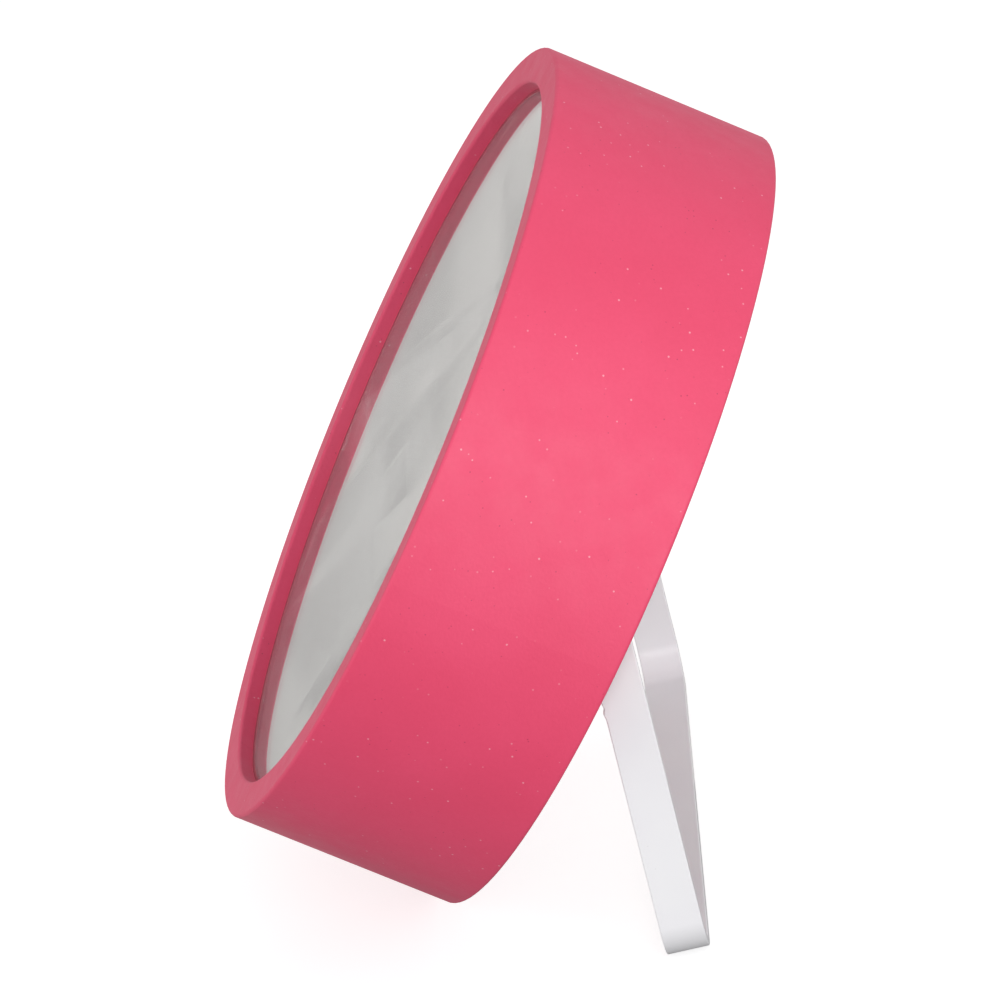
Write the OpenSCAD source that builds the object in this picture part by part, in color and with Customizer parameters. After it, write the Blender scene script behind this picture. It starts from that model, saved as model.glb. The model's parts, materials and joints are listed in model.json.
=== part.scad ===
/* [Drum] */
// outside diameter of the drum
drum_d = 200; // [190:1:210]
// depth of the drum from front rim to back rim
drum_t = 57.4; // [56.5:0.1:58]
// radius of the round front opening
open_r = 90.8; // [90:0.1:91.5]
// radius of the hollow behind the glass
hollow_r = 94.5; // [94.3:0.1:95]
// rounding of the outer rim edges
edge_f = 0.9; // [0.7:0.1:1.6]

/* [Mirror] */
// depth of the glass below the front rim
glass_in = 3.85; // [3:0.05:4.2]
// thickness of the mirror glass
glass_t = 3; // [2.5:0.1:3.2]

/* [Stand] */
// angle of the open stand from the back of the drum
swing = 37.3; // [37:0.1:38]
// half width of the stand over its arms
half_w = 89.4; // [89.2:0.1:89.6]
// width of the flat strip
strip_w = 10.3; // [10:0.05:10.6]
// thickness of the flat strip
strip_t = 2.3; // [2:0.1:2.4]
// outside bend radius at the two corners
bend_r = 10; // [8:0.5:20]
// reach of the cross bar below the drum centre along the stand
reach = 114.6; // [113:0.05:117]

/* [Which piece] */
// piece to draw, or all

/* [Hidden] */
$fn = 96;

R = drum_d / 2;
T = drum_t;
ca = cos(swing);
sa = sin(swing);
off = 45.3;                        // strip centre line, measured square to the strip
ledge = glass_in + glass_t + 1.1;  // shoulder that the tray seats on
tray_y = ledge + 2.5;
panel_y = 34;
panel_b = panel_y + 2.5;
piv_y = 47.5;
piv_z = (piv_y * (1 - ca) + off - strip_w / 2 - (T + 0.5)) / sa;
pin_r = 2;
// lowest points: rounded back edge of the drum and the lower front edge of the cross bar
wf = off - strip_w / 2;
foot_y = reach * sa + wf * ca;
foot_z = reach * ca - wf * sa;     // below the drum axis
pp = R - edge_f - foot_z;
qq = T - edge_f - foot_y;
lean = atan2(qq, pp) + acos(-edge_f / sqrt(pp * pp + qq * qq));
lift = (R - edge_f) * cos(lean) + (T - edge_f) * sin(lean) + edge_f;
shift = -T / 2 * cos(lean);

module stand_up() translate([0, shift, lift]) rotate([-lean, 0, 0]) children();
// revolve a (radius, depth) outline about the drum axis
module turned() rotate([-90, 0, 0]) rotate_extrude($fn = 180) children();
// straight pin along X from x0 to x1 on the right side
module rod_x(x0, x1, r, y, z) translate([x0, y, z]) rotate([0, 90, 0]) cylinder(h = x1 - x0, r = r, $fn = 48);
module rod_y(y0, y1, r, x, z) translate([x, y0, z]) rotate([-90, 0, 0]) cylinder(h = y1 - y0, r = r, $fn = 40);
module side(s) { if (s > 0) children(); else mirror([1, 0, 0]) children(); }
function arc(cx, cy, r, a0, a1, n) = [for (i = [0 : n]) let (t = a0 + (a1 - a0) * i / n) [cx + r * cos(t), cy + r * sin(t)]];

// drum shell: wide outer wall, narrow front rim, shoulder for the tray, open back
module shell_outline() polygon(concat(
  arc(R - edge_f, edge_f, edge_f, -90, 0, 8),
  arc(R - edge_f, T - edge_f, edge_f, 0, 90, 8),
  arc(hollow_r + 0.7, T - 0.7, 0.7, 90, 180, 5),
  [[hollow_r, ledge], [open_r, ledge]],
  arc(open_r + 0.8, 0.8, 0.8, 180, 270, 6)));

module hinge_boss(s) side(s) rod_x(91.1, 97.4, 5.2, piv_y, piv_z);

module rim_shell() color([0.94, 0.40, 0.53]) stand_up() difference() {
  union() {
    turned() shell_outline();
    intersection() {
      union() { hinge_boss(1); hinge_boss(-1); }
      turned() square([R - 1.5, T - 1]);
    }
  }
  for (s = [1, -1]) side(s) rod_x(85, 97, pin_r + 0.04, piv_y, piv_z);
}

module mirror_glass() color([0.8, 0.85, 0.85, 0.4]) stand_up() turned()
  polygon([[0, glass_in], [open_r - 0.8, glass_in], [open_r - 0.5, glass_in + 0.3],
    [open_r - 0.5, glass_in + glass_t], [0, glass_in + glass_t]]);

module silver_coat() color([0.75, 0.76, 0.76]) stand_up()
  turned() translate([0, glass_in + glass_t]) square([open_r - 0.6, 0.3]);

module foam_ring() color([0.2, 0.2, 0.22]) stand_up()
  turned() translate([55, glass_in + glass_t + 0.3]) square([31, 0.8]);

boss_at = [[48, 48], [-48, 48], [48, -48], [-48, -48]];

module carrier_tray() color([0.9, 0.9, 0.9]) stand_up() difference() {
  union() {
    turned() translate([0, ledge]) square([hollow_r - 0.3, 2.5]);
    turned() translate([40, tray_y - 0.1]) square([2, 6.1]);
    turned() translate([78, tray_y - 0.1]) square([2, 6.1]);
    for (k = [0 : 7]) rotate([0, 22.5 + 45 * k, 0]) translate([14, tray_y - 0.1, -0.9]) cube([72, 5.1, 1.8]);
    turned() translate([13, tray_y - 0.1]) square([2, 5.1]);
    for (p = boss_at) rod_y(tray_y - 0.1, panel_y, 4, p[0], p[1]);
  }
  for (p = boss_at) rod_y(22, panel_y + 1, 1.3, p[0], p[1]);
}

module back_panel() color([0.93, 0.93, 0.93]) stand_up() difference() {
  union() {
    turned() polygon([[0, panel_y], [hollow_r - 0.3, panel_y], [hollow_r - 0.3, panel_b - 0.4],
      [hollow_r - 0.7, panel_b], [74, panel_b], [73, panel_b - 0.8], [71, panel_b - 0.8], [70, panel_b],
      [0, panel_b]]);
  }
  for (p = boss_at) rod_y(panel_y - 1, panel_b + 1, 1.7, p[0], p[1]);
  for (p = boss_at) translate([p[0], panel_b - 1.6, p[1]]) rotate([-90, 0, 0]) cylinder(h = 1.61, r1 = 1.7, r2 = 3.4);
  for (s = [1, -1], z = block_z) rod_y(panel_y - 1, panel_b + 1, 1.35, s * 79.5, z);
}

// countersunk cross-head screw, head outward (towards the back)
module screw_y(x, z, y0, y1, r, hr, hh) translate([x, 0, z]) difference() {
  union() {
    rod_y(y0, y1 - hh + 0.05, r, 0, 0);
    translate([0, y1 - hh, 0]) rotate([-90, 0, 0]) cylinder(h = hh, r1 = r, r2 = hr);
  }
  for (q = [0, 90]) rotate([0, q, 0]) translate([-hr * 0.6, y1 - 0.9, -0.35]) cube([hr * 1.2, 1, 0.7]);
}
module panel_screw(k) color([0.75, 0.75, 0.76]) stand_up()
  screw_y(boss_at[k][0], boss_at[k][1], 23, panel_b - 0.05, 1.27, 3.1, 1.5);
module panel_screw_1() panel_screw(0);
module panel_screw_2() panel_screw(1);
module panel_screw_3() panel_screw(2);
module panel_screw_4() panel_screw(3);

block_z = [piv_z - 7, piv_z + 7];
module hinge_block(s) color([0.88, 0.88, 0.88]) stand_up() side(s) difference() {
  union() {
    translate([75, panel_b, piv_z - 11]) cube([10.8, 6, 22]);
    rod_x(75, 85.8, 6.5, piv_y, piv_z);
    translate([75, panel_b, piv_z - 6.5]) cube([10.8, piv_y - panel_b, 13]);
  }
  rod_x(70, 90, pin_r + 0.04, piv_y, piv_z);
  for (z = block_z) rod_y(panel_b - 1, 50, 1.35, 79.5, z);
  for (z = block_z) rod_y(panel_b + 4.4, 60, 3.1, 79.5, z);
}
module hinge_block_left() hinge_block(-1);
module hinge_block_right() hinge_block(1);

module block_screw(s, k) color([0.75, 0.75, 0.76]) stand_up() difference() {
  union() {
    rod_y(panel_y - 5, panel_b + 4.5, 1.3, s * 79.5, block_z[k]);
    rod_y(panel_b + 4.45, panel_b + 6.2, 2.7, s * 79.5, block_z[k]);
  }
  for (q = [0, 90]) translate([s * 79.5, panel_b + 5.4, block_z[k]]) rotate([0, q, 0])
    translate([-1.7, 0, -0.35]) cube([3.4, 1, 0.7]);
}
module block_screw_left_a() block_screw(-1, 0);
module block_screw_left_b() block_screw(-1, 1);
module block_screw_right_a() block_screw(1, 0);
module block_screw_right_b() block_screw(1, 1);

// pivot pin with a clip groove at its inner end
module hinge_pin(s) color([0.78, 0.78, 0.8]) stand_up() side(s) difference() {
  rod_x(72.6, 96.8, pin_r, piv_y, piv_z);
  difference() {
    rod_x(73.9, 74.9, pin_r + 1, piv_y, piv_z);
    rod_x(73.8, 75, pin_r - 0.5, piv_y, piv_z);
  }
}
module hinge_pin_left() hinge_pin(-1);
module hinge_pin_right() hinge_pin(1);

// open retaining clip in the groove
module pin_clip(s) color([0.5, 0.5, 0.52]) stand_up() side(s) difference() {
  rod_x(74, 74.8, 4.2, piv_y, piv_z);
  rod_x(73.5, 75.3, pin_r - 0.45, piv_y, piv_z);
  translate([73, piv_y, piv_z - 1.2]) cube([3, 6, 2.4]);
}
module pin_clip_left() pin_clip(-1);
module pin_clip_right() pin_clip(1);

module ring_x(x0, x1, r0, r1) difference() {
  rod_x(x0, x1, r1, piv_y, piv_z);
  rod_x(x0 - 1, x1 + 1, r0, piv_y, piv_z);
}
module inner_washer(s) color([0.92, 0.92, 0.88]) stand_up() side(s) ring_x(85.85, half_w - strip_t - 0.3, pin_r + 0.05, 5);
module inner_washer_left() inner_washer(-1);
module inner_washer_right() inner_washer(1);
module outer_washer(s) color([0.92, 0.92, 0.88]) stand_up() side(s) ring_x(half_w + 0.3, 91.05, pin_r + 0.05, 5);
module outer_washer_left() outer_washer(-1);
module outer_washer_right() outer_washer(1);

// rubber stop that the top of each arm rests on when the stand is open
module stop_pad(s) color([0.15, 0.15, 0.16]) stand_up() side(s)
  translate([84.5, panel_b, 0.2]) cube([5.5, 12.6, 7.5]);
module stop_pad_left() stop_pad(-1);
module stop_pad_right() stop_pad(1);

module bush(s) color([0.92, 0.92, 0.88]) stand_up() side(s) ring_x(half_w - strip_t, half_w, pin_r + 0.06, 3.45);
module bush_left() bush(-1);
module bush_right() bush(1);

// one bent strip: two arms, two rounded corners and a straight cross bar
module bail_plan() polygon(concat(
  [[half_w, -34]],
  [for (p = arc(half_w - bend_r, -(reach - bend_r), bend_r, 0, -90, 16)) p],
  [for (p = arc(-(half_w - bend_r), -(reach - bend_r), bend_r, -90, -180, 16)) p],
  [[-half_w, -34], [-(half_w - strip_t), -34]],
  [for (p = arc(-(half_w - bend_r), -(reach - bend_r), bend_r - strip_t, 180, 270, 16)) p],
  [for (p = arc(half_w - bend_r, -(reach - bend_r), bend_r - strip_t, -90, 0, 16)) p],
  [[half_w - strip_t, -34]]));
// point on the strip, s along it and w across it
function sp(s, w) = [s * sa + w * ca, -s * ca + w * sa];
wb = off + strip_w / 2;
// arm end: the strip runs into the hollow and widens forward to the pivot
module arm_end() {
  polygon(concat(
    [sp(60, wf), sp(60, wb), sp(31, wb), sp(29.2, wb - 1.8), sp(29.2, wf + 1.8), sp(30.4, wf + 0.3)],
    [[piv_y - 4.8, piv_z + 3.6], [piv_y - 2, piv_z - 5.6], [piv_y + 1.5, piv_z - 5.8]],
    [[piv_y + 5.8, piv_z - 1.4], [piv_y + 6.9, piv_z + 0.6], [piv_y + 8.4, piv_z + 1.5], [57.6, -10.9]],
    [[59.1, -11.8], [60.4, -12.9], sp(48.2, wf - 0.35), sp(50, wf - 0.05)]));
  translate([piv_y, piv_z]) circle(r = 6, $fn = 64);
}
module stand_bail() color([0.93, 0.93, 0.93]) stand_up() difference() {
  union() {
    rotate([90 + swing, 0, 0]) translate([0, 0, -wb]) linear_extrude(strip_w) bail_plan();
    for (s = [1, -1]) side(s) translate([half_w - strip_t, 0, 0])
      rotate([90, 0, 90]) linear_extrude(strip_t) arm_end();
  }
  for (s = [1, -1]) side(s) rod_x(80, 95, 3.5, piv_y, piv_z);
}

rim_shell();
mirror_glass();
silver_coat();
foam_ring();
carrier_tray();
back_panel();
panel_screw_1();
panel_screw_2();
panel_screw_3();
panel_screw_4();
hinge_block_left();
hinge_block_right();
block_screw_left_a();
block_screw_left_b();
block_screw_right_a();
block_screw_right_b();
hinge_pin_left();
hinge_pin_right();
pin_clip_left();
pin_clip_right();
inner_washer_left();
inner_washer_right();
outer_washer_left();
outer_washer_right();
stop_pad_left();
stop_pad_right();
bush_left();
bush_right();
stand_bail();
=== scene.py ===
"""Looks for the drum mirror: materials on the CAD nodes, a stand with rounded edges, a bedding ring
round the glass, floor, lights and camera."""

import json
import math

import bmesh
import bpy
from mathutils import Matrix, Vector


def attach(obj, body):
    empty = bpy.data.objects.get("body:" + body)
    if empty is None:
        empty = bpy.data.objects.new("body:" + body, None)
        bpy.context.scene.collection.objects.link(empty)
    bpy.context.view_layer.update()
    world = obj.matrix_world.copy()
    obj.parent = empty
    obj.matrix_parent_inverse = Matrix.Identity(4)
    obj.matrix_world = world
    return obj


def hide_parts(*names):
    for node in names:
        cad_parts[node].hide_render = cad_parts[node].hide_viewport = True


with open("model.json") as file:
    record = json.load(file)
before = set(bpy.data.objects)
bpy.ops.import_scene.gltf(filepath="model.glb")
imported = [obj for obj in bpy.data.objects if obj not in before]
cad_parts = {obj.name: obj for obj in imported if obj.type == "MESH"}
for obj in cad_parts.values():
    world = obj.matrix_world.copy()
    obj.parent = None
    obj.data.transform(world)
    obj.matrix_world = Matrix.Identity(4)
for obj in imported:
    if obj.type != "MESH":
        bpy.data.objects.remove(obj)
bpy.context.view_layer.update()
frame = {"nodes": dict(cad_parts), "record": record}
nodes = frame["nodes"]


# ---------------------------------------------------------------- sizes, mm
MM = 0.001
R, T, EDGE = 100.0, 57.4, 0.9
SWING, OFF, WIDE, THICK = math.radians(37.3), 45.3, 10.3, 2.3
HALF, REACH, BEND = 89.4, 114.6, 10.0
CA, SA = math.cos(SWING), math.sin(SWING)
# front and back edges of the strip, then the pivot, the lean and the height of the standing drum
WF, WB = OFF - WIDE / 2, OFF + WIDE / 2
PIV_Y = 47.5
PIV_Z = (PIV_Y * (1 - CA) + OFF - WIDE / 2 - (T + 0.5)) / SA
PP = R - EDGE - (REACH * CA - WF * SA)
QQ = T - EDGE - (REACH * SA + WF * CA)
LEAN = math.atan2(QQ, PP) + math.acos(-EDGE / math.hypot(PP, QQ))
LIFT = (R - EDGE) * math.cos(LEAN) + (T - EDGE) * math.sin(LEAN) + EDGE
SHIFT = -T / 2 * math.cos(LEAN)


# ---------------------------------------------------------------- node helpers
class Mat:
    """A small builder for one node material."""

    def __init__(self, name):
        self.m = bpy.data.materials.new(name)
        self.m.use_nodes = True
        self.t = self.m.node_tree
        self.t.nodes.clear()
        self.out = self.t.nodes.new("ShaderNodeOutputMaterial")
        self.b = self.t.nodes.new("ShaderNodeBsdfPrincipled")
        self.t.links.new(self.b.outputs[0], self.out.inputs[0])
        self.co = self.t.nodes.new("ShaderNodeTexCoord").outputs["Object"]

    def put(self, **kw):
        for k, v in kw.items():
            self.b.inputs[k.replace("_", " ")].default_value = v
        return self

    def link(self, a, b):
        self.t.links.new(a, b)

    def noise(self, scale, detail=2.0, rough=0.5, stretch=None):
        n = self.t.nodes.new("ShaderNodeTexNoise")
        n.inputs["Scale"].default_value = scale
        n.inputs["Detail"].default_value = detail
        n.inputs["Roughness"].default_value = rough
        src = self.co
        if stretch:
            mp = self.t.nodes.new("ShaderNodeMapping")
            mp.inputs["Scale"].default_value = stretch
            self.link(self.co, mp.inputs["Vector"])
            src = mp.outputs[0]
        self.link(src, n.inputs["Vector"])
        return n.outputs["Fac"]

    def cells(self, scale):
        n = self.t.nodes.new("ShaderNodeTexVoronoi")
        n.inputs["Scale"].default_value = scale
        self.link(self.co, n.inputs["Vector"])
        return n.outputs["Distance"]

    def ramp(self, fac, stops):
        r = self.t.nodes.new("ShaderNodeValToRGB")
        e = r.color_ramp.elements
        while len(e) < len(stops):
            e.new(0.5)
        for el, (p, c) in zip(e, stops):
            el.position = p
            el.color = c if len(c) == 4 else (*c, 1)
        self.link(fac, r.inputs[0])
        return r.outputs[0]

    def grey(self, fac, p0, v0, p1, v1):
        return self.ramp(fac, [(p0, (v0, v0, v0)), (p1, (v1, v1, v1))])

    def span(self, fac, a, b, c, d):
        n = self.t.nodes.new("ShaderNodeMapRange")
        for i, v in zip((1, 2, 3, 4), (a, b, c, d)):
            n.inputs[i].default_value = v
        self.link(fac, n.inputs[0])
        return n.outputs[0]

    def mix(self, fac, c1, c2):
        n = self.t.nodes.new("ShaderNodeMix")
        n.data_type = "RGBA"
        for sock, v in ((n.inputs[0], fac), (n.inputs[6], c1), (n.inputs[7], c2)):
            if isinstance(v, (tuple, list)):
                sock.default_value = (*v[:3], 1)
            elif isinstance(v, (int, float)):
                sock.default_value = v
            else:
                self.link(v, sock)
        return n.outputs[2]

    def times(self, a, b, op="MULTIPLY"):
        n = self.t.nodes.new("ShaderNodeMath")
        n.operation = op
        for sock, v in ((n.inputs[0], a), (n.inputs[1], b)):
            if isinstance(v, (int, float)):
                sock.default_value = v
            else:
                self.link(v, sock)
        return n.outputs[0]

    def bump(self, *layers):
        """layers: (height socket, strength, distance in metres)"""
        prev = None
        for h, s, d in layers:
            n = self.t.nodes.new("ShaderNodeBump")
            n.inputs["Strength"].default_value = s
            n.inputs["Distance"].default_value = d
            self.link(h, n.inputs["Height"])
            if prev:
                self.link(prev, n.inputs["Normal"])
            prev = n.outputs[0]
        self.link(prev, self.b.inputs["Normal"])
        return self

    def color(self, sock):
        self.link(sock, self.b.inputs["Base Color"])
        return self

    def rough(self, sock):
        self.link(sock, self.b.inputs["Roughness"])
        return self


def soft_pink():
    m = Mat("pink_soft_touch")
    m.put(Specular_IOR_Level=0.54, Sheen_Weight=0.045, Sheen_Roughness=0.45)
    m.b.inputs["Sheen Tint"].default_value = (1.0, 0.85, 0.90, 1)
    cloud = m.noise(26, 3, 0.55)
    fine = m.noise(900, 2, 0.6)
    base = m.mix(m.span(cloud, 0.35, 0.65, 0, 1), (0.795, 0.062, 0.150), (0.825, 0.070, 0.166))
    base = m.mix(m.span(fine, 0.3, 0.7, 0, 0.16), base, (0.72, 0.046, 0.118))
    # small pale dust specks, thinly scattered
    dust = m.times(m.grey(m.cells(330), 0.05, 1, 0.10, 0), m.span(m.noise(60, 1), 0.46, 0.58, 0, 0.50))
    base = m.mix(dust, base, (0.95, 0.62, 0.68))
    pits = m.times(m.grey(m.cells(460), 0.05, 1, 0.11, 0), m.span(m.noise(85, 1), 0.47, 0.60, 0, 0.62))
    base = m.mix(pits, base, (0.42, 0.02, 0.06))
    m.color(base)
    m.rough(m.span(m.noise(140, 3, 0.6), 0.3, 0.7, 0.52, 0.64))
    m.bump((m.noise(1250, 3, 0.62), 0.42, 0.00017), (m.cells(900), 0.10, 0.00008),
           (m.noise(34, 2), 0.05, 0.0006))
    return m.m


def white_paint():
    m = Mat("white_strip_paint")
    m.put(Specular_IOR_Level=0.5, Coat_Weight=0.25, Coat_Roughness=0.18)
    base = m.mix(m.span(m.noise(30, 3), 0.35, 0.65, 0, 1), (0.830, 0.820, 0.850), (0.86, 0.855, 0.872))
    specks = m.times(m.grey(m.cells(420), 0.04, 1, 0.065, 0), m.span(m.noise(75, 1), 0.6, 0.66, 0, 0.35))
    base = m.mix(specks, base, (0.55, 0.53, 0.54))
    m.color(base)
    m.rough(m.span(m.noise(120, 3), 0.3, 0.7, 0.28, 0.40))
    m.bump((m.noise(420, 2, 0.5), 0.08, 0.00015), (m.noise(2100, 1), 0.06, 0.00004))
    return m.m


def clear_glass():
    m = Mat("mirror_front_glass")
    m.put(IOR=1.46)
    # the ground edge and chamfer are dull and opaque, and their dim pink is a painted reflection of the pink
    # recess round them; only the two faces are clear
    across = m.t.nodes.new("ShaderNodeVectorMath")
    across.operation = "DOT_PRODUCT"
    across.inputs[1].default_value = (0, -math.cos(LEAN), math.sin(LEAN))
    m.link(m.t.nodes.new("ShaderNodeTexCoord").outputs["Normal"], across.inputs[0])
    face = m.span(m.times(across.outputs["Value"], 0.0, "ABSOLUTE"), 0.90, 0.97, 0, 1)
    clear = m.mix(m.span(m.noise(18, 2), 0.3, 0.7, 0, 1), (0.965, 0.975, 0.970), (0.975, 0.982, 0.978))
    # painted reflection: the edge colour (0.46, 0.16, 0.20) stands in for the pink recess seen in the ground
    # edge
    m.color(m.mix(face, (0.46, 0.16, 0.20), clear))
    m.link(m.times(face, 0.87), m.b.inputs["Transmission Weight"])
    film = m.noise(22, 4, 0.6, (1.0, 1.0, 0.45))
    m.rough(m.span(film, 0.45, 0.75, 0.0, 0.012))
    return m.m


def silver():
    m = Mat("mirror_silver")
    m.put(Metallic=1.0)
    smear = m.noise(14, 4, 0.62, (1.0, 1.0, 0.35))
    base = m.mix(m.span(smear, 0.42, 0.7, 0, 1), (0.885, 0.884, 0.876), (0.862, 0.858, 0.848))
    specks = m.times(m.grey(m.cells(260), 0.03, 1, 0.055, 0), m.span(m.noise(48, 1), 0.57, 0.62, 0, 0.5))
    base = m.mix(specks, base, (0.60, 0.58, 0.57))
    m.color(base)
    m.rough(m.span(m.noise(40, 3), 0.4, 0.7, 0.004, 0.011))
    return m.m


def bedding():
    m = Mat("dusty_bedding")
    m.put(Specular_IOR_Level=0.08)
    base = m.mix(m.span(m.noise(320, 4, 0.65), 0.35, 0.65, 0, 1), (0.40, 0.070, 0.105), (0.47, 0.105, 0.140))
    m.color(m.mix(m.grey(m.cells(620), 0.06, 1, 0.12, 0), base, (0.56, 0.30, 0.32)))
    m.rough(m.span(m.noise(500, 2), 0.3, 0.7, 0.7, 0.9))
    m.bump((m.noise(900, 3), 0.12, 0.00006))
    return m.m


def moulded(name, c1, c2, scale=1700, rough=(0.42, 0.56), bump=0.18):
    m = Mat(name)
    m.put(Specular_IOR_Level=0.42)
    base = m.mix(m.span(m.noise(24, 3), 0.35, 0.65, 0, 1), c1, c2)
    m.color(m.mix(m.span(m.noise(scale * 0.4, 2), 0.3, 0.7, 0, 0.12), base, tuple(v * 0.8 for v in c1)))
    m.rough(m.span(m.noise(160, 3), 0.3, 0.7, *rough))
    m.bump((m.noise(scale, 2, 0.6), bump, 0.00012), (m.noise(40, 2), 0.04, 0.0005))
    return m.m


def steel(name, c1, c2, stretch):
    m = Mat(name)
    m.put(Metallic=1.0)
    grain = m.noise(1400, 3, 0.7, stretch)
    base = m.mix(m.span(grain, 0.3, 0.7, 0, 1), c1, c2)
    m.color(m.mix(m.span(m.noise(500, 3), 0.58, 0.75, 0, 0.35), base, tuple(v * 0.6 for v in c1)))
    m.rough(m.span(grain, 0.3, 0.7, 0.24, 0.40))
    m.bump((grain, 0.12, 0.00005))
    return m.m


mats = {
    "pink_shell": soft_pink(),
    "glass": clear_glass(),
    "mirror": silver(),
    "foam": moulded("black_foam", (0.055, 0.055, 0.06), (0.075, 0.075, 0.08), 900, (0.85, 0.95), 0.6),
    "white_plastic": moulded("white_moulding", (0.78, 0.78, 0.77), (0.83, 0.83, 0.82), 1900),
    "white_panel": moulded("white_back_panel", (0.80, 0.79, 0.80), (0.84, 0.83, 0.84), 1300,
                           (0.50, 0.62), 0.35),
    "screw_steel": steel("zinc_screw", (0.60, 0.60, 0.58), (0.70, 0.69, 0.66), (1, 1, 1)),
    "pin_steel": steel("pin_steel", (0.50, 0.50, 0.51), (0.62, 0.62, 0.62), (0.05, 1, 1)),
    "nylon": moulded("natural_nylon", (0.80, 0.78, 0.70), (0.86, 0.84, 0.77), 1500, (0.35, 0.48), 0.12),
    "rubber": moulded("black_rubber", (0.028, 0.028, 0.03), (0.045, 0.045, 0.047), 1100, (0.70, 0.84), 0.4),
    "white_paint": white_paint(),
}
slot_of = {s["node"]: s["material_slot"] for s in frame["record"]["subparts"]}
for name, obj in nodes.items():
    mat = mats[slot_of[name]]
    if not obj.material_slots:
        obj.data.materials.append(mat)
    for s in obj.material_slots:
        s.material = mat


# ---------------------------------------------------------------- bail: one bent strip with rounded edges
def world_of(x, y, z):
    """From the drum's own axes (mm) to the standing frame (m)."""
    return Vector((x, y * math.cos(LEAN) + z * math.sin(LEAN) + SHIFT,
                   -y * math.sin(LEAN) + z * math.cos(LEAN) + LIFT)) * MM


def sp(s, w):
    return (s * SA + w * CA, -s * CA + w * SA)


def arc(cx, cy, r, a0, a1, n):
    return [(cx + r * math.cos(math.radians(a0 + (a1 - a0) * i / n)),
             cy + r * math.sin(math.radians(a0 + (a1 - a0) * i / n))) for i in range(n + 1)]


def inward(loop, open_edges):
    """Unit-offset vectors of an anticlockwise loop; an open edge isn't pulled in."""
    n = len(loop)
    out = []
    for i in range(n):
        vs = []
        for k in ((i - 1) % n, i):
            if k in open_edges:
                continue
            a, b = Vector(loop[k]), Vector(loop[(k + 1) % n])
            d = (b - a).normalized()
            vs.append(Vector((-d.y, d.x)))
        v = sum(vs, Vector((0, 0)))
        v.normalize()
        out.append(v / max(0.3, v.dot(vs[0])))
    return out


def plate(bm, loop, h0, h1, place, r=0.35, open_edges=(), hole=None, seg=4, cut=None):
    """A flat plate of an anticlockwise outline with rounded edges, placed by place(u, v, h).
    hole is (u, v, radius, steps); cut is two pairs (outline corner, hole step) that join the two."""
    inn = inward(loop, set(open_edges))
    n = len(loop)
    order = [(h0 + r * (1 - math.cos(math.pi / 2 * k / seg)), r * (1 - math.sin(math.pi / 2 * k / seg)))
             for k in range(seg + 1)]
    order += [(h0 + h1 - h, d) for h, d in order[::-1]]
    rings = [[bm.verts.new(place(p[0] + v.x * d, p[1] + v.y * d, h)) for p, v in zip(loop, inn)]
             for h, d in order]
    for a, b in zip(rings, rings[1:]):
        for i in range(n):
            if i not in open_edges:
                k = (i + 1) % n
                bm.faces.new([a[i], a[k], b[k], b[i]])
    caps = (rings[0], rings[-1])
    if not hole:
        for rg in caps:
            bm.faces.new(rg)
        return
    cx, cy, rr, m = hole
    turn = [2 * math.pi * i / m for i in range(m)]
    hr = [[bm.verts.new(place(cx + rr * math.cos(q), cy + rr * math.sin(q), h)) for q in turn]
          for h in (h0, h1)]
    for i in range(m):
        k = (i + 1) % m
        bm.faces.new([hr[0][k], hr[0][i], hr[1][i], hr[1][k]])
    (i0, j0), (i1, j1) = cut

    def run(a, b, size, step):
        out = [a]
        while a != b:
            a = (a + step) % size
            out.append(a)
        return out

    for rg, hv in zip(caps, hr):
        bm.faces.new([rg[i] for i in run(i0, i1, n, 1)] + [hv[i] for i in run(j1, j0, m, -1)])
        bm.faces.new([rg[i] for i in run(i1, i0, n, 1)] + [hv[i] for i in run(j0, j1, m, -1)])


def finish_mesh(bm, name, mat, sharp=35):
    bmesh.ops.remove_doubles(bm, verts=bm.verts, dist=1e-6)
    bmesh.ops.recalc_face_normals(bm, faces=bm.faces)
    me = bpy.data.meshes.new(name)
    for f in bm.faces:
        f.smooth = True
    bm.to_mesh(me)
    bm.free()
    me.set_sharp_from_angle(angle=math.radians(sharp))
    me.materials.append(mat)
    o = bpy.data.objects.new(name, me)
    bpy.context.collection.objects.link(o)
    w = o.modifiers.new("even", "WEIGHTED_NORMAL")
    w.keep_sharp = True
    w.weight = 80
    return o


JOIN = 60.0                           # where each arm meets the bent U, measured down the strip
BOSS, BORE = 6, 3.5                   # radii of the eye round the pivot and of the hole for the bush
bm = bmesh.new()
inner = BEND - THICK
u_loop = [(HALF - THICK, -JOIN)] + arc(HALF - BEND, -(REACH - BEND), inner, 0, -90, 18)
u_loop += arc(-(HALF - BEND), -(REACH - BEND), inner, -90, -180, 18)
u_loop += [(-(HALF - THICK), -JOIN), (-HALF, -JOIN)]
end_left = len(u_loop) - 2
u_loop += arc(-(HALF - BEND), -(REACH - BEND), BEND, 180, 270, 18)
u_loop += arc(HALF - BEND, -(REACH - BEND), BEND, -90, 0, 18) + [(HALF, -JOIN)]
plate(bm, u_loop, WF, WB, lambda x, v, w: world_of(x, *sp(-v, w)),
      open_edges=(end_left, len(u_loop) - 1))
a_loop = [sp(JOIN, WF), sp(JOIN, WB), sp(31, WB)]
a_loop += [sp(29.9, WB - 0.4), sp(29.2, WB - 1.8), sp(29.2, WF + 1.8), sp(29.6, WF + 0.8), sp(30.4, WF + 0.3)]
first = len(a_loop)
a_loop += arc(PIV_Y, PIV_Z, BOSS, 143, 345, 30)
fore = first + 6                      # about straight ahead of the pivot
low = first + 30                      # where the neck starts
a_loop += [(PIV_Y + 6.3, PIV_Z - 0.3), (PIV_Y + 6.9, PIV_Z + 0.6), (PIV_Y + 7.6, PIV_Z + 1.2)]
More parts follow.
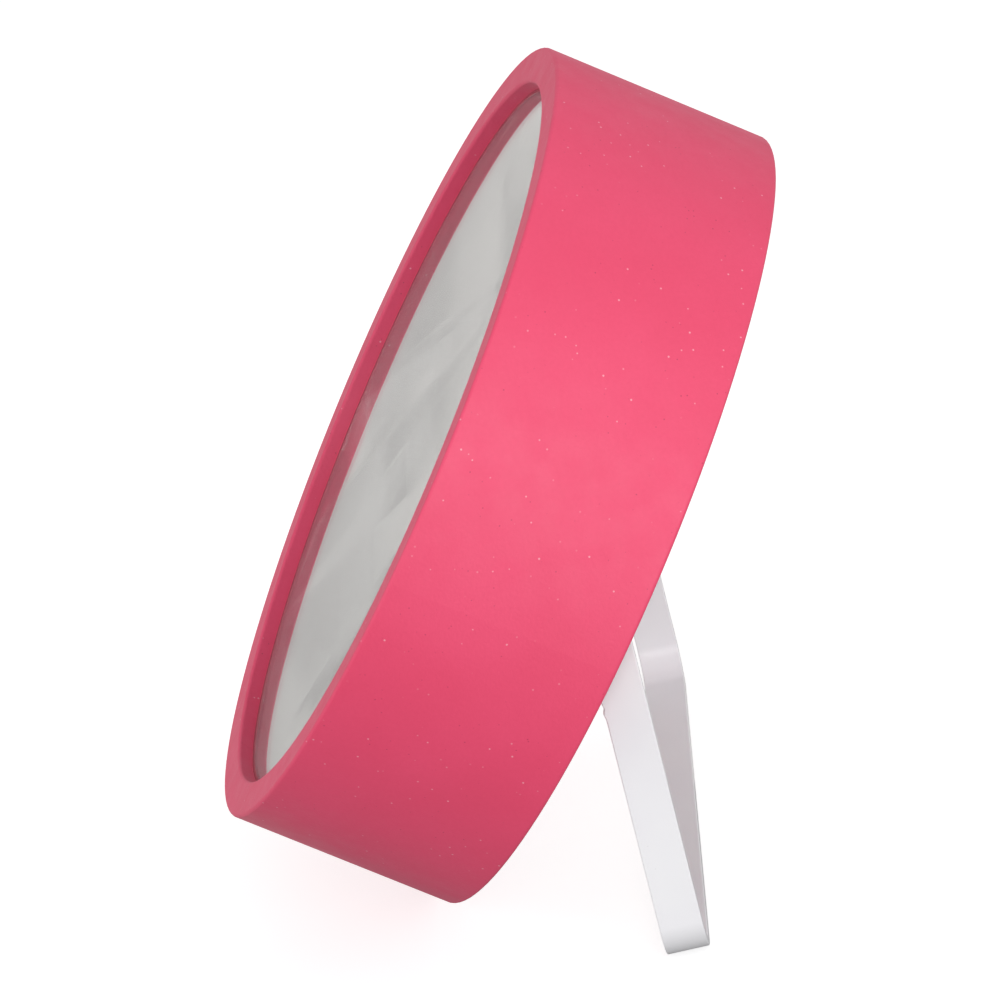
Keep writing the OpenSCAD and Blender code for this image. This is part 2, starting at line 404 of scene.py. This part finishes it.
a_loop += [(PIV_Y + 8.4, PIV_Z + 1.5)]
a_loop += [(57.6, -10.9), (58.4, -11.3), (59.1, -11.8), (59.8, -12.35), (60.4, -12.9)]
a_loop += [sp(48.2, WF - 0.35), sp(49.1, WF - 0.14), sp(50, WF - 0.03), sp(51.5, WF)]
for s in (1, -1):
    plate(bm, a_loop, HALF - THICK, HALF, lambda y, z, x, s=s: world_of(s * x, y, z),
          open_edges=(0,), hole=(PIV_Y, PIV_Z, BORE, 40), cut=((fore, 20), (low, 38)))
bail = finish_mesh(bm, "stand_strip", mats["white_paint"])
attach(bail, "stand")
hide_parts("stand_bail")


# ---------------------------------------------------------------- bedding line between glass and rim
bm = bmesh.new()
# G0 and G1 are its front and back, RI and RO the inside of its lip and its outside; N its steps
G0, G1, RI, RO = 3.80, 6.84, 89.94, 90.79
prof = [(RO, G0 - 0.05), (RO - 0.12, G0), (RI + 0.1, G0 + 0.01), (RI, G0 + 0.044), (90.01, G0 + 0.044),
        (90.32, G0 + 0.36), (90.32, G1), (RO, G1)]
N = 360
cols = []
for i in range(N):
    q = 2 * math.pi * i / N
    dip = -0.02 - 0.012 * math.sin(11 * q) - 0.008 * math.sin(29 * q + 1)
    spots = [(r, y + (dip if y < G0 + 0.02 else 0)) for r, y in prof]
    cols.append([bm.verts.new(world_of(r * math.sin(q), y, r * math.cos(q))) for r, y in spots])
for i in range(N):
    a, b = cols[i], cols[(i + 1) % N]
    for k in range(len(prof)):
        m = (k + 1) % len(prof)
        bm.faces.new([a[k], a[m], b[m], b[k]])
bead = finish_mesh(bm, "glass_bedding", bedding(), 50)
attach(bead, "drum")


# ---------------------------------------------------------------- floor
def grid_plane(name, size, z=0.0, cuts=12):
    bm = bmesh.new()
    bmesh.ops.create_grid(bm, x_segments=cuts, y_segments=cuts, size=size)
    me = bpy.data.meshes.new(name)
    bm.to_mesh(me)
    bm.free()
    o = bpy.data.objects.new(name, me)
    o.location.z = z
    bpy.context.collection.objects.link(o)
    return o


floor = grid_plane("studio_floor", 6.0, -0.0002)
fm = Mat("studio_floor_white")
fm.put(Specular_IOR_Level=0.1, Roughness=0.8, Emission_Strength=0.70)
fm.b.inputs["Emission Color"].default_value = (1, 1, 1, 1)
fm.color(fm.mix(fm.span(fm.noise(2, 1), 0.3, 0.7, 0, 1), (0.50, 0.50, 0.50), (0.52, 0.52, 0.52)))
floor.data.materials.append(fm.m)
floor.visible_diffuse = False
floor.visible_glossy = False


# ---------------------------------------------------------------- lights
def emit(name, colour, low, high):
    """Glow that rises along the object's own X from low to high."""
    m = bpy.data.materials.new(name)
    m.use_nodes = True
    t = m.node_tree
    t.nodes.clear()
    o = t.nodes.new("ShaderNodeOutputMaterial")
    e = t.nodes.new("ShaderNodeEmission")
    e.inputs[0].default_value = (*colour, 1)
    x = t.nodes.new("ShaderNodeSeparateXYZ")
    r = t.nodes.new("ShaderNodeMapRange")
    for k, v in zip((1, 2, 3, 4), (-0.8, 0.1, low, high)):
        r.inputs[k].default_value = v
    t.links.new(t.nodes.new("ShaderNodeTexCoord").outputs["Object"], x.inputs[0])
    t.links.new(x.outputs[0], r.inputs[0])
    t.links.new(r.outputs[0], e.inputs[1])
    t.links.new(e.outputs[0], o.inputs[0])
    return m


def area(name, loc, target, size, power, colour=(1, 1, 1)):
    d = bpy.data.lights.new(name, "AREA")
    d.shape = "RECTANGLE"
    d.size, d.size_y = size
    d.energy = power
    d.color = colour
    o = bpy.data.objects.new(name, d)
    o.location = loc
    o.rotation_euler = (Vector(target) - Vector(loc)).to_track_quat("-Z", "Y").to_euler()
    bpy.context.collection.objects.link(o)
    return o


world = bpy.data.worlds.new("studio")
bpy.context.scene.world = world
world.use_nodes = True
wt = world.node_tree
bg = wt.nodes["Background"]
bg.inputs[0].default_value = (1, 1, 1, 1)
wc = wt.nodes.new("ShaderNodeTexCoord")
wx = wt.nodes.new("ShaderNodeSeparateXYZ")
wr = wt.nodes.new("ShaderNodeMapRange")
for k, v in zip((1, 2, 3, 4), (-0.35, 0.15, 0.26, 0.60)):
    wr.inputs[k].default_value = v
wt.links.new(wc.outputs["Generated"], wx.inputs[0])
wt.links.new(wx.outputs[2], wr.inputs[0])
wt.links.new(wr.outputs[0], bg.inputs[1])

area("key", (1.7, 0.35, 0.50), (0, 0, 0.1), (1.5, 1.1), 19.3)
area("fill_front", (0.4, -1.7, 0.6), (0, 0, 0.1), (1.0, 1.0), 6)
area("side_back", (0.5, 1.7, 0.5), (0, 0.05, 0.08), (1.0, 1.0), 5)

# grey card that only the glass sees: it lies on the floor where the mirror looks
card = grid_plane("grey_card", 1.0, 0.0006, 6)
card.data.materials.append(emit("card_grey", (0.725, 0.705, 0.69), 0.89, 1.12))
card.scale = (1.0, 0.62, 1)
card.rotation_euler = (0, 0, math.atan2(-0.3129, -0.9336))
card.location = (-0.94, -0.36, 0.0006)
for flag in ("visible_camera", "visible_diffuse", "visible_shadow", "visible_volume_scatter"):
    setattr(card, flag, False)

# ---------------------------------------------------------------- camera
cam = bpy.data.cameras.new("view")
cam.sensor_width = 36.0
cam.lens = 308.88
cam.clip_start = 0.05
cam.clip_end = 30
camera = bpy.data.objects.new("view", cam)
bpy.context.collection.objects.link(camera)
right = Vector((0.015248, 0.975164, -0.220958))
up = Vector((-0.358364, 0.211632, 0.909278))
back = Vector((0.933457, 0.065318, 0.352691))
rot = Matrix((right, up, back)).transposed()
camera.matrix_world = Matrix.Translation((1.936576, 0.13497, 0.822203)) @ rot.to_4x4()
bpy.context.scene.camera = camera

vs = bpy.context.scene.view_settings
vs.view_transform = "Standard"
vs.look = "None"
vs.exposure = 0.0
vs.gamma = 1.0
